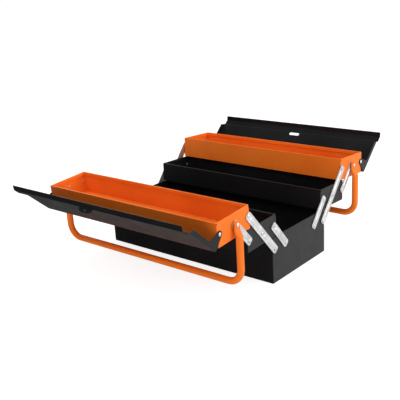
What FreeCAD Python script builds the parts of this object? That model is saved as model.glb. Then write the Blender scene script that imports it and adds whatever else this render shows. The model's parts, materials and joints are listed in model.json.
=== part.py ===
import FreeCAD, Part
import Sketcher
import os

# A five-compartment steel cantilever toolbox, shown open. Millimetres, +Z up.
# The origin is the centre of the base's underside, X runs along the box and the front faces -Y.
# Each wing (front and back) is modelled once in a wing frame whose +Y points outward from the
# box; the front wing is the same set of pieces turned half a turn about Z.

doc = FreeCAD.newDocument("toolbox")

# ---------------------------------------------------------------- driving dimensions
DIMENSIONS = [
    # base and trays
    ("body_length", 474),       # base and trays, end plate to end plate
    ("base_width", 208),
    ("base_height", 103),
    ("tray_width", 101),
    ("middle_height", 47.2),
    ("upper_height", 50.3),
    ("sheet", 1.0),             # steel sheet of shells and end plates
    ("rim_thick", 3.0),         # folded rim, measured inward from the outer face
    ("rim_drop", 8.0),          # depth of the folded rim
    ("relief_width", 2.2),      # small relief notch where the rims meet at the corners
    ("relief_high", 1.2),       # top of the notch below the rim
    ("relief_tall", 2.6),
    ("bend_radius", 1.6),       # outside radius of the long lower bends
    # linkage
    ("link_pitch", 66.6),       # between the pivots of a short link, half a long one
    ("link_width", 17.4),
    ("link_end", 5.9),          # from an end pivot to the blunt end of the link
    ("link_corner", 5.4),       # radius of the link's corners
    ("link_sheet", 1.8),
    ("link_gap", 0.4),          # between an end plate and a link
    ("rib_width", 5.0),
    ("rib_high", 0.6),
    ("rib_end", 13.0),          # from a pivot to the start of the pressed rib
    ("long_foot_in", 7.8),      # lower pivot of the long link, from the base's outer face
    ("long_foot_down", 26.8),   # and below its rim
    ("lower_foot_in", 47.0),    # lower pivot of the lower short link
    ("lower_foot_down", 25.8),
    ("long_lean", 41.0),        # degrees from vertical, outward, with the box open
    ("lower_lean", 40.0),
    ("upper_lean", 41.6),
    ("middle_tilt", 2.3),       # degrees that the open trays sag outward
    ("upper_tilt", 3.7),
    ("middle_pivot_in", 48.7),  # long link's pivot on the middle tray, from its outer face
    ("middle_pivot_up", 24.6),
    ("middle_low_in", 5.4),     # lower pivot of the upper short link
    ("middle_low_up", 24.7),
    ("upper_pivot_back", 5.2),  # long link's pivot on the upper tray, from its inner face
    ("upper_pivot_up", 28.1),
    # rivets
    ("rivet_radius", 2.5),
    ("rivet_head", 4.0),        # head radius
    ("rivet_high", 1.3),
    ("rivet_tail", 4.0),
    ("tail_high", 1.2),
    ("collar_radius", 5.2),
    ("running", 0.05),          # radial clearance of a turning joint
    ("open_play", 0.5),         # radial clearance of the two loose pivots of each wing
    ("side_play", 0.1),         # axial play beside a turning plate
    # lids
    ("hinge_in", 5.2),          # lid hinge on the upper tray, from its outer face
    ("hinge_up", 27.3),
    ("lid_open", 42.3),         # degrees above horizontal that an open lid points
    ("lid_sheet", 1.0),
    ("lid_out", 10.6),          # outer face of the lid's wall, outward from the hinge
    ("lid_top", 32.9),          # top face of the lid above the hinge, when shut
    ("lid_wall", 15.4),         # depth of the lid's outer wall
    ("lid_flat", 91.6),         # width of the flat panel
    ("lid_ramp", 4.0),
    ("lid_rise", 6.2),          # height of the raised band
    ("lid_band", 15.0),         # width of the raised band's flat
    ("lip_run", 8.5),
    ("lip_fall", 7.2),
    ("flange_drop", 9.4),
    ("flange_sheet", 1.2),
    ("flange_taper", 7.0),      # how far the flange's lower edge ends before its upper one
    ("flange_gap", 0.5),        # between an upper tray's end plate and a lid flange
    ("ear_start", 22.6),        # inward from the hinge
    ("ear_radius", 7.0),
    ("pin_head_high", 1.3),
    ("slot_length", 30),
    ("slot_width", 8),
    ("slot_in", 75),            # centre of the slot, inward from the hinge
    ("slot_shift", 3),
    ("lug_width", 37),
    ("lug_high", 10.4),
    ("lug_foot", 3.0),          # straight part of the lug below its round
    ("lug_sheet", 2.4),
    ("lug_in", 100.0),           # inward from the hinge
    ("lug_shift", 8),
    ("eye_radius", 3.1),        # padlock hole
    # handles
    ("tube_radius", 7.2),
    ("tube_wall", 1.4),
    ("leg_gap", 1.8),           # between a link and a handle leg
    ("handle_drop", 121),       # pivot to the centre line of the bar
    ("handle_bend", 31),        # radius of the bends, on the centre line
    ("eye_thick", 4.6),         # flattened end of a leg
    ("eye_wide", 15.8),
    ("eye_plate", 9.0),         # from the pivot down to where the flattening starts
    ("eye_length", 25.0),       # from the pivot down to the full round tube
]

sheet = doc.addObject("Spreadsheet::Sheet", "Dims")
for row, (alias, value) in enumerate(DIMENSIONS, start=1):
    sheet.set(f"A{row}", alias)
    sheet.set(f"B{row}", str(value))
    sheet.setAlias(f"B{row}", alias)

# Places that follow from the driving dimensions, with the box open, in the wing frame:
# "out" is outward from the centre plane and "up" is above the floor.
DERIVED = [
    ("half", "Dims.body_length / 2"),
    ("link_face", "half + Dims.link_gap"),
    ("link_outer", "link_face + Dims.link_sheet"),
    ("head_face", "link_outer + Dims.side_play"),
    ("long_foot", "Dims.base_width / 2 - Dims.long_foot_in"),
    ("long_foot_high", "Dims.base_height - Dims.long_foot_down"),
    ("lower_foot", "Dims.base_width / 2 - Dims.lower_foot_in"),
    ("lower_foot_high", "Dims.base_height - Dims.lower_foot_down"),
    ("mid_out", "long_foot + Dims.link_pitch * sin(Dims.long_lean * 1deg)"),
    ("mid_up", "long_foot_high + Dims.link_pitch * cos(Dims.long_lean * 1deg)"),
    ("end_out", "long_foot + 2 * Dims.link_pitch * sin(Dims.long_lean * 1deg)"),
    ("end_up", "long_foot_high + 2 * Dims.link_pitch * cos(Dims.long_lean * 1deg)"),
    ("low_out", "lower_foot + Dims.link_pitch * sin(Dims.lower_lean * 1deg)"),
    ("low_up", "lower_foot_high + Dims.link_pitch * cos(Dims.lower_lean * 1deg)"),
    ("mcos", "cos(Dims.middle_tilt * 1deg)"),
    ("msin", "sin(Dims.middle_tilt * 1deg)"),
    ("ucos", "cos(Dims.upper_tilt * 1deg)"),
    ("usin", "sin(Dims.upper_tilt * 1deg)"),
    # outer lower edge of each open tray
    ("middle_out", "mid_out + Dims.middle_pivot_in * mcos - Dims.middle_pivot_up * msin"),
    ("middle_up", "mid_up - Dims.middle_pivot_in * msin - Dims.middle_pivot_up * mcos"),
    ("upper_pivot_in", "Dims.tray_width - Dims.upper_pivot_back"),
    ("upper_out", "end_out + upper_pivot_in * ucos - Dims.upper_pivot_up * usin"),
    ("upper_up", "end_up - upper_pivot_in * usin - Dims.upper_pivot_up * ucos"),
    # upper end of the lower short link, on the middle tray
    ("middle_high_in", "(middle_out - low_out) * mcos + (low_up - middle_up) * msin"),
    ("middle_high_up", "(low_up - middle_up) * mcos - (middle_out - low_out) * msin"),
    # lower and upper ends of the upper short link
    ("foot_out", "middle_out - Dims.middle_low_in * mcos + Dims.middle_low_up * msin"),
    ("foot_up", "middle_up + Dims.middle_low_in * msin + Dims.middle_low_up * mcos"),
    ("handle_out", "foot_out + Dims.link_pitch * sin(Dims.upper_lean * 1deg)"),
    ("handle_up", "foot_up + Dims.link_pitch * cos(Dims.upper_lean * 1deg)"),
    ("handle_in", "(upper_out - handle_out) * ucos + (handle_up - upper_up) * usin"),
    ("handle_rise", "(handle_up - upper_up) * ucos - (upper_out - handle_out) * usin"),
    # lid hinge
    ("hinge_out", "upper_out - Dims.hinge_in * ucos + Dims.hinge_up * usin"),
    ("hinge_high", "upper_up + Dims.hinge_in * usin + Dims.hinge_up * ucos"),
    # lid section, from the hinge: y outward, z up, when shut
    ("flat_end", "Dims.lid_out - Dims.lid_flat"),
    ("ramp_end", "flat_end - Dims.lid_ramp"),
    ("band_end", "ramp_end - Dims.lid_band"),
    ("lip_end", "band_end - Dims.lip_run"),
    ("band_top", "Dims.lid_top + Dims.lid_rise"),
    ("lip_top", "band_top - Dims.lip_fall"),
    ("flange_face", "half + Dims.flange_gap"),
    ("flange_outer", "flange_face + Dims.flange_sheet"),
    # handle
    ("eye_face", "link_outer + Dims.leg_gap"),
    ("leg_place", "eye_face + Dims.tube_radius"),
    ("eye_outer", "eye_face + Dims.eye_thick"),
]
derived = doc.addObject("Spreadsheet::Sheet", "Derived")
for row, (alias, formula) in enumerate(DERIVED, start=1):
    derived.set(f"A{row}", alias)
    derived.set(f"B{row}", "=" + formula)
    derived.setAlias(f"B{row}", alias)
doc.recompute()


# ---------------------------------------------------------------- helpers
def new_body(name):
    return doc.addObject("PartDesign::Body", name)


def new_sketch(body, role, offset="0", across="0", along="0"):
    """A sketch on one of the body's own origin planes, moved by expressions."""
    sketch = body.newObject("Sketcher::SketchObject", body.Name + "_sketch")
    plane = next(o for o in body.Origin.OriginFeatures if o.Role == role)
    sketch.AttachmentSupport = (plane, [""])
    sketch.MapMode = "FlatFace"
    sketch.setExpression("AttachmentOffset.Base.x", across)
    sketch.setExpression("AttachmentOffset.Base.y", along)
    sketch.setExpression("AttachmentOffset.Base.z", offset)
    return sketch


def place_point(sketch, geometry, point, x, y):
    """Tie a point of a sketch to its two coordinates, given as expressions."""
    now = sketch.getPoint(geometry, point)
    for kind, text, value in (("DistanceX", x, now.x), ("DistanceY", y, now.y)):
        tie = Sketcher.Constraint(kind, -1, 1, geometry, point, value)
        index = sketch.addConstraint(tie)
        sketch.setExpression(f"Constraints[{index}]", text)


def polygon(sketch, corners):
    """A closed outline whose corners are (x, y) expressions."""
    count = len(corners)
    start = FreeCAD.Vector(10, 0, 0)
    turn = FreeCAD.Rotation(FreeCAD.Vector(0, 0, 1), 360 / count)
    lines = []
    for _ in corners:
        end = turn.multVec(start)
        lines.append(sketch.addGeometry(Part.LineSegment(start, end)))
        start = end
    for here, (x, y) in zip(lines, corners):
        following = lines[(lines.index(here) + 1) % count]
        sketch.addConstraint(Sketcher.Constraint("Coincident", here, 2, following, 1))
        place_point(sketch, here, 1, x, y)


def circle(sketch, x, y, radius):
    shape = Part.Circle(FreeCAD.Vector(0, 0, 0), FreeCAD.Vector(0, 0, 1), 5)
    index = sketch.addGeometry(shape)
    place_point(sketch, index, 3, x, y)
    tie = sketch.addConstraint(Sketcher.Constraint("Radius", index, 5))
    sketch.setExpression(f"Constraints[{tie}]", radius)


def pad(body, sketch, length):
    feature = body.newObject("PartDesign::Pad", body.Name + "_pad")
    feature.Profile = sketch
    feature.setExpression("Length", length)
    body.Tip = feature
    return feature


def pocket(body, sketch, length):
    """Cut from the sketch against its normal, and make sure that it cuts."""
    before = body.Tip
    feature = body.newObject("PartDesign::Pocket", body.Name + "_pocket")
    feature.Profile = sketch
    feature.setExpression("Length", length)
    body.Tip = feature
    doc.recompute()
    if feature.Shape.Volume >= before.Shape.Volume - 0.01:
        raise RuntimeError(f"{feature.Name} cuts nothing")
    return feature


def fillet(body, radius, wanted):
    """Round the edges of the body for which wanted(edge) is true."""
    doc.recompute()
    base = body.Tip
    names = [f"Edge{n}" for n, edge in enumerate(base.Shape.Edges, start=1) if wanted(edge)]
    feature = body.newObject("PartDesign::Fillet", body.Name + "_fillet")
    feature.Base = (base, names)
    feature.setExpression("Radius", radius)
    body.Tip = feature
    return feature


def part_object(kind, name, **expressions):
    """A Part primitive with its sizes bound to expressions."""
    item = doc.addObject(kind, name)
    for size, text in expressions.items():
        item.setExpression(size.replace("_", "."), text)
    return item


def rod(name, radius, x0, length, y="0", z="0"):
    """A cylinder along X."""
    item = part_object("Part::Cylinder", name, Radius=radius, Height=length)
    item.setExpression("Placement", f"placement(vector({x0}; {y}; {z}); rotation(0; 90; 0))")
    return item


def combine(kind, name, first, second):
    item = doc.addObject(kind, name)
    item.Base = first
    item.Tool = second
    return item


NODES = []


def node(label, item, place):
    """Name a finished piece, put it in its place and list it for export."""
    item.Label = label
    item.setExpression("Placement", place)
    NODES.append(item)


def in_wing(turn, out, up, roll):
    """A placement in a wing: turn is 0 for the back wing and 180 for the front one."""
    side = "-" if turn else ""
    return f"placement(vector(0; {side}1 * ({out}); {up}); rotation({turn}; 0; {roll}))"


# ---------------------------------------------------------------- sheet-metal trays
def folded_shell(name, width, height):
    """A bottom and two long walls with inward-folded rims, outer face at y = 0."""
    body = new_body(name)
    sketch = new_sketch(body, "YZ_Plane", "Dims.sheet - Derived.half")
    under = f"{height} - Dims.rim_drop"
    polygon(sketch, [
        ("0", "0"),
        ("0", height),
        ("-Dims.rim_thick", height),
        ("-Dims.rim_thick", under),
        ("-Dims.sheet", under),
        ("-Dims.sheet", "Dims.sheet"),
        (f"Dims.sheet - {width}", "Dims.sheet"),
        (f"Dims.sheet - {width}", under),
        (f"Dims.rim_thick - {width}", under),
        (f"Dims.rim_thick - {width}", height),
        (f"-{width}", height),
        (f"-{width}", "0"),
    ])
    pad(body, sketch, "Dims.body_length - 2 * Dims.sheet")

    def lower_bend(edge):
        box = edge.BoundBox
        outside = abs(box.YMax) < 0.01 or abs(box.YMin + sheet.get(width[5:])) < 0.01
        return box.XLength > 1 and box.YLength < 0.01 and abs(box.ZMax) < 0.01 and outside

    fillet(body, "Dims.bend_radius", lower_bend)
    return body


def end_plate(name, end, width, height, pivots):
    """An end plate with its folded rim, relief notches and rivet holes.

    end is 1 or -1 along X; pivots are (inward, up) expressions.
    """
    body = new_body(name)
    edge_in = f"Dims.rim_thick - {width}"
    plate_from = "Derived.half - Dims.sheet" if end > 0 else "-Derived.half"
    outline = new_sketch(body, "YZ_Plane", plate_from)
    notch_top = f"{height} - Dims.relief_high"
    notch_low = f"{height} - Dims.relief_high - Dims.relief_tall"
    polygon(outline, [
        ("-Dims.bend_radius", "0"),
        ("0", "Dims.bend_radius"),
        ("0", notch_low),
        ("-Dims.relief_width", notch_low),
        ("-Dims.relief_width", notch_top),
        ("0", notch_top),
        ("0", height),
        (f"-{width}", height),
        (f"-{width}", notch_top),
        (f"Dims.relief_width - {width}", notch_top),
        (f"Dims.relief_width - {width}", notch_low),
        (f"-{width}", notch_low),
        (f"-{width}", "Dims.bend_radius"),
        (f"Dims.bend_radius - {width}", "0"),
    ])
    pad(body, outline, "Dims.sheet")
    rim_from = "Derived.half - Dims.rim_thick" if end > 0 else "Dims.sheet - Derived.half"
    rim = new_sketch(body, "YZ_Plane", rim_from)
    polygon(rim, [
        ("-Dims.rim_thick", f"{height} - Dims.rim_drop"),
        ("-Dims.rim_thick", height),
        (edge_in, height),
        (edge_in, f"{height} - Dims.rim_drop"),
    ])
    pad(body, rim, "Dims.rim_thick - Dims.sheet")
    cut_from = "Derived.half + Dims.sheet" if end > 0 else "2 * Dims.sheet - Derived.half"
    holes = new_sketch(body, "YZ_Plane", cut_from)
    for inward, up in pivots:
        circle(holes, f"-({inward})", up, "Dims.rivet_radius")
    pocket(body, holes, "3 * Dims.sheet")
    return body


# ---------------------------------------------------------------- links and rivets
def link(name, end, pitches, plays):
    """A flat link with rounded ends and a pressed rib, standing on its lower pivot.

    pitches counts the pivots above the lowest one; plays is each pivot's clearance.
    """
    body = new_body(name)
    inner = "Derived.link_face" if end > 0 else "-Derived.link_outer"
    top = f"{pitches} * Dims.link_pitch + Dims.link_end"
    plate = new_sketch(body, "YZ_Plane", inner)
    polygon(plate, [
        ("-Dims.link_width / 2", "-Dims.link_end"),
        ("Dims.link_width / 2", "-Dims.link_end"),
        ("Dims.link_width / 2", top),
        ("-Dims.link_width / 2", top),
    ])
    pad(body, plate, "Dims.link_sheet")
    fillet(body, "Dims.link_corner", lambda edge: abs(edge.tangentAt(edge.FirstParameter).x) > 0.99)
    rib_from = "Derived.link_outer" if end > 0 else "-Derived.link_outer - Dims.rib_high"
    for step in range(pitches):
        rib = new_sketch(body, "YZ_Plane", rib_from)
        low = f"{step} * Dims.link_pitch + Dims.rib_end"
        high = f"{step + 1} * Dims.link_pitch - Dims.rib_end"
        bevel = "Dims.rib_width / 2"
        polygon(rib, [
            ("0", f"{low} - {bevel}"),
            (bevel, low),
            (bevel, high),
            ("0", f"{high} + {bevel}"),
            (f"-{bevel}", high),
            (f"-{bevel}", low),
        ])
        pad(body, rib, "Dims.rib_high")
    cut_from = "Derived.link_outer + 1" if end > 0 else "1 - Derived.link_face"
    holes = new_sketch(body, "YZ_Plane", cut_from)
    for step, play in enumerate(plays):
        circle(holes, "0", f"{step} * Dims.link_pitch", f"Dims.rivet_radius + {play}")
    pocket(body, holes, "Dims.link_sheet + 2")
    return body


def rivet_pair(label, steps, inward, up, place):
    """Two rivets, one at each end, turned from a stepped profile.

    steps are (start, end, radius) along X, from the inside of the box outward, each
    starting where the one before it ends; the last one is a domed head.
    """
    body = new_body(label + "_right")
    profile = new_sketch(body, "XY_Plane", up, "0", f"-({inward})")
    corners = [(steps[0][0], "0")]
    for start, end, radius in steps[:-1]:
        corners += [(start, radius), (end, radius)]
    start, end, radius = steps[-1]
    corners += [
        (start, radius),
        (f"{start} + 0.4 * ({end} - ({start}))", radius),
        (f"{start} + 0.8 * ({end} - ({start}))", f"0.75 * {radius}"),
        (end, f"0.4 * {radius}"),
        (end, "0"),
    ]
    polygon(profile, corners)
    turned = body.newObject("PartDesign::Revolution", body.Name + "_turned")
    turned.Profile = profile
    turned.ReferenceAxis = (profile, ["H_Axis"])
    turned.Angle = 360
    body.Tip = turned
    other = doc.addObject("Part::Mirroring", label + "_left")
    other.Source = body
    other.Normal = FreeCAD.Vector(1, 0, 0)
    pair = doc.addObject("Part::Compound", label)
    pair.Links = [body, other]
    node(label, pair, place)


PLATE_INNER = "Derived.half - Dims.sheet"
TAIL = (f"{PLATE_INNER} - Dims.tail_high", PLATE_INNER, "Dims.rivet_tail")
COLLAR = ("Derived.half", "Derived.link_face - Dims.side_play", "Dims.collar_radius")
LINK_RIVET = [
    TAIL,
    (PLATE_INNER, "Derived.half", "Dims.rivet_radius"),
    COLLAR,
    ("Derived.link_face - Dims.side_play", "Derived.head_face", "Dims.rivet_radius"),
    ("Derived.head_face", "Derived.head_face + Dims.rivet_high", "Dims.rivet_head"),
]
HANDLE_RIVET = [
    TAIL,
    (PLATE_INNER, "Derived.half", "Dims.rivet_radius"),
    COLLAR,
    ("Derived.link_face - Dims.side_play", "Derived.head_face", "Dims.rivet_radius"),
    ("Derived.head_face", "Derived.eye_face - Dims.side_play", "Dims.rivet_head"),
    ("Derived.eye_face - Dims.side_play", "Derived.eye_outer + Dims.side_play",
     "Dims.rivet_radius"),
    ("Derived.eye_outer + Dims.side_play",
     "Derived.eye_outer + Dims.side_play + Dims.pin_head_high", "Dims.rivet_tail"),
]
HINGE_RIVET = [
    TAIL,
    (PLATE_INNER, "Derived.flange_outer + Dims.side_play", "Dims.rivet_radius"),
    ("Derived.flange_outer + Dims.side_play",
     "Derived.flange_outer + Dims.side_play + Dims.pin_head_high", "Dims.rivet_tail"),
]


# ---------------------------------------------------------------- lids
def lid_panel(name, slotted):
    """The lid's folded panel: outer wall, flat, raised band and down-turned lip."""
    body = new_body(name)
    sketch = new_sketch(body, "YZ_Plane", "-Derived.flange_outer")
    thick = "Dims.lid_sheet"
    polygon(sketch, [
        ("Dims.lid_out", "Dims.lid_top - Dims.lid_wall"),
        ("Dims.lid_out", f"Dims.lid_top - {thick}"),
        (f"Dims.lid_out - {thick}", "Dims.lid_top"),
        ("Derived.flat_end", "Dims.lid_top"),
        ("Derived.ramp_end", "Derived.band_top"),
        ("Derived.band_end", "Derived.band_top"),
        ("Derived.lip_end", "Derived.lip_top"),
        ("Derived.lip_end", f"Derived.lip_top - 1.4 * {thick}"),
        ("Derived.band_end", f"Derived.band_top - 1.4 * {thick}"),
        ("Derived.ramp_end", f"Derived.band_top - 1.4 * {thick}"),
        ("Derived.flat_end", f"Dims.lid_top - {thick}"),
        (f"Dims.lid_out - {thick}", f"Dims.lid_top - {thick}"),
        (f"Dims.lid_out - {thick}", "Dims.lid_top - Dims.lid_wall"),
    ])
    pad(body, sketch, "2 * Derived.flange_outer")
    if slotted:
        slot = new_sketch(body, "XY_Plane", "Dims.lid_top + 1", "Dims.slot_shift",
                          "-Dims.slot_in")
        straight = "(Dims.slot_length - Dims.slot_width) / 2"
        half_wide = "Dims.slot_width / 2"
        polygon(slot, [
            (f"-{straight}", f"-{half_wide}"),
            (straight, f"-{half_wide}"),
            (straight, half_wide),
            (f"-{straight}", half_wide),
        ])
        pocket(body, slot, "Dims.lid_sheet + 2")
        for side in ("-", ""):
            round_end = new_sketch(body, "XY_Plane", "Dims.lid_top + 1", "Dims.slot_shift",
                                   "-Dims.slot_in")
            circle(round_end, side + straight, "0", half_wide)
            pocket(body, round_end, "Dims.lid_sheet + 2")
    return body


def lid_flange(name, end):
    """An end flange of a lid, with the ear that the hinge rivet goes through."""
    body = new_body(name)
    inner = "Derived.flange_face" if end > 0 else "-Derived.flange_outer"
    plate = new_sketch(body, "YZ_Plane", inner)
    seat = "Dims.lid_top - Dims.lid_sheet"
    low = "Dims.lid_top - Dims.flange_drop"
    wall = "Dims.lid_out - Dims.lid_sheet"
    polygon(plate, [
        (wall, seat),
        ("Derived.flat_end", seat),
        ("Derived.flat_end + Dims.flange_taper", low),
        ("-Dims.ear_start", low),
        ("-0.8 * Dims.ear_radius", "-0.6 * Dims.ear_radius"),
        (wall, "0"),
    ])
    pad(body, plate, "Dims.flange_sheet")
    eye = new_sketch(body, "YZ_Plane", inner)
    circle(eye, "0", "0", "Dims.ear_radius")
    pad(body, eye, "Dims.flange_sheet")
    cut_from = "Derived.flange_outer + 1" if end > 0 else "1 - Derived.flange_face"
    hole = new_sketch(body, "YZ_Plane", cut_from)
    circle(hole, "0", "0", "Dims.rivet_radius + Dims.running")
    pocket(body, hole, "Dims.flange_sheet + 2")
    return body


def padlock_lug(name):
    """A half-round lug on the raised band, with the padlock's hole."""
    body = new_body(name)
    foot = new_sketch(body, "XZ_Plane", "Dims.lug_in - Dims.lug_sheet / 2")
    low = "Derived.band_top"
    shoulder = "Derived.band_top + Dims.lug_foot"
    half_wide = "Dims.lug_width / 2"
    slope = "Dims.lug_width * 0.36"
    polygon(foot, [
        (f"Dims.lug_shift - {half_wide}", low),
        (f"Dims.lug_shift + {half_wide}", low),
        (f"Dims.lug_shift + {half_wide}", shoulder),
        (f"Dims.lug_shift + {slope}", "Derived.band_top + 0.72 * Dims.lug_high"),
        (f"Dims.lug_shift + 0.5 * {slope}", "Derived.band_top + Dims.lug_high"),
        (f"Dims.lug_shift - 0.5 * {slope}", "Derived.band_top + Dims.lug_high"),
        (f"Dims.lug_shift - {slope}", "Derived.band_top + 0.72 * Dims.lug_high"),
        (f"Dims.lug_shift - {half_wide}", shoulder),
    ])
    pad(body, foot, "Dims.lug_sheet")
    hole = new_sketch(body, "XZ_Plane", "Dims.lug_in + Dims.lug_sheet")
    circle(hole, "Dims.lug_shift", "Derived.band_top + Dims.lug_high / 2",
           "Dims.eye_radius")
    pocket(body, hole, "3 * Dims.lug_sheet")
    return body


# ---------------------------------------------------------------- handles
def handle_path(body):
    """The handle's centre line, a U in the XZ plane hanging from its pivots."""
    path = new_sketch(body, "XZ_Plane")
    leg = derived.get("leg_place")
    bend = sheet.get("handle_bend")
    drop = -sheet.get("handle_drop")
    top = -sheet.get("eye_length")
    turn = FreeCAD.Vector(0, 0, 1)
    straight = path.addGeometry(Part.LineSegment(
        FreeCAD.Vector(-leg, top, 0), FreeCAD.Vector(-leg, drop + bend, 0)))
    first = path.addGeometry(Part.ArcOfCircle(
        Part.Circle(FreeCAD.Vector(bend - leg, drop + bend, 0), turn, bend),
        3.14159, 4.71239))
    bar = path.addGeometry(Part.LineSegment(
        FreeCAD.Vector(bend - leg, drop, 0), FreeCAD.Vector(leg - bend, drop, 0)))
    second = path.addGeometry(Part.ArcOfCircle(
        Part.Circle(FreeCAD.Vector(leg - bend, drop + bend, 0), turn, bend),
        4.71239, 6.28319))
    back_up = path.addGeometry(Part.LineSegment(
        FreeCAD.Vector(leg, drop + bend, 0), FreeCAD.Vector(leg, top, 0)))
    low = "Dims.handle_bend - Dims.handle_drop"
    for index, point, x, y in (
        (straight, 1, "-Derived.leg_place", "-Dims.eye_length"),
        (straight, 2, "-Derived.leg_place", low),
        (bar, 1, "Dims.handle_bend - Derived.leg_place", "-Dims.handle_drop"),
        (bar, 2, "Derived.leg_place - Dims.handle_bend", "-Dims.handle_drop"),
        (back_up, 1, "Derived.leg_place", low),
        (back_up, 2, "Derived.leg_place", "-Dims.eye_length"),
    ):
        place_point(path, index, point, x, y)
    for before, arc, after in ((straight, first, bar), (bar, second, back_up)):
        path.addConstraint(Sketcher.Constraint("Coincident", before, 2, arc, 1))
        path.addConstraint(Sketcher.Constraint("Coincident", arc, 2, after, 1))
        tie = path.addConstraint(Sketcher.Constraint("Radius", arc, bend))
        path.setExpression(f"Constraints[{tie}]", "Dims.handle_bend")
    return path


def handle_tube(name):
    """The bent tube of a handle."""
    body = new_body(name)
    path = handle_path(body)
    for kind, radius in (
        ("PartDesign::AdditivePipe", "Dims.tube_radius"),
        ("PartDesign::SubtractivePipe", "Dims.tube_radius - Dims.tube_wall"),
    ):
        profile = new_sketch(body, "XY_Plane", "-Dims.eye_length")
        circle(profile, "-Derived.leg_place", "0", radius)
        doc.recompute()
        pipe = body.newObject(kind, body.Name + "_pipe")
        pipe.Profile = profile
        pipe.Spine = path
        body.Tip = pipe
        doc.recompute()
    return body


def handle_eye(name, end):
    """The flattened end of a handle leg, which the handle rivet goes through."""
    body = new_body(name)
    side = "" if end > 0 else "-"
    round_end = new_sketch(body, "XY_Plane", "-Dims.eye_length")
    circle(round_end, side + "Derived.leg_place", "0", "Dims.tube_radius")
    flat_end = new_sketch(body, "XY_Plane", "-Dims.eye_plate")
    near, far = "Derived.eye_face", "Derived.eye_outer"
    if end < 0:
        near, far = "-Derived.eye_outer", "-Derived.eye_face"
    polygon(flat_end, [
        (near, "-Dims.eye_wide / 2"),
        (far, "-Dims.eye_wide / 2"),
        (far, "Dims.eye_wide / 2"),
        (near, "Dims.eye_wide / 2"),
    ])
    doc.recompute()
    neck = body.newObject("PartDesign::AdditiveLoft", body.Name + "_neck")
    neck.Profile = round_end
    neck.Sections = [flat_end]
    neck.Ruled = True
    body.Tip = neck
    doc.recompute()
    top = new_sketch(body, "YZ_Plane", near)
    circle(top, "0", "0", "Dims.eye_wide / 2")
    pad(body, top, "Dims.eye_thick")
    shank = new_sketch(body, "YZ_Plane", near)
    polygon(shank, [
        ("-Dims.eye_wide / 2", "-Dims.eye_plate"),
        ("Dims.eye_wide / 2", "-Dims.eye_plate"),
        ("Dims.eye_wide / 2", "0"),
        ("-Dims.eye_wide / 2", "0"),
    ])
    pad(body, shank, "Dims.eye_thick")
    hole = new_sketch(body, "YZ_Plane", far)
    circle(hole, "0", "0", "Dims.rivet_radius + Dims.running")
    pocket(body, hole, "Dims.eye_thick")
    return body


# ---------------------------------------------------------------- assembly
ENDS = (("left", -1), ("right", 1))
WINGS = (("front", 180), ("back", 0))
ON_BASE = "placement(vector(0; Dims.base_width / 2; 0); rotation(0; 0; 0))"
BASE_PIVOTS = [
    (f"Dims.base_width / 2 {sign} Derived.{foot}", f"Derived.{foot}_high")
    for foot in ("long_foot", "lower_foot")
    for sign in "-+"
]

node("base_shell", folded_shell("base_shell", "Dims.base_width", "Dims.base_height"), ON_BASE)
for side, end in ENDS:
    name = f"base_end_{side}"
    plate = end_plate(name, end, "Dims.base_width", "Dims.base_height", BASE_PIVOTS)
    node(name, plate, ON_BASE)

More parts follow.
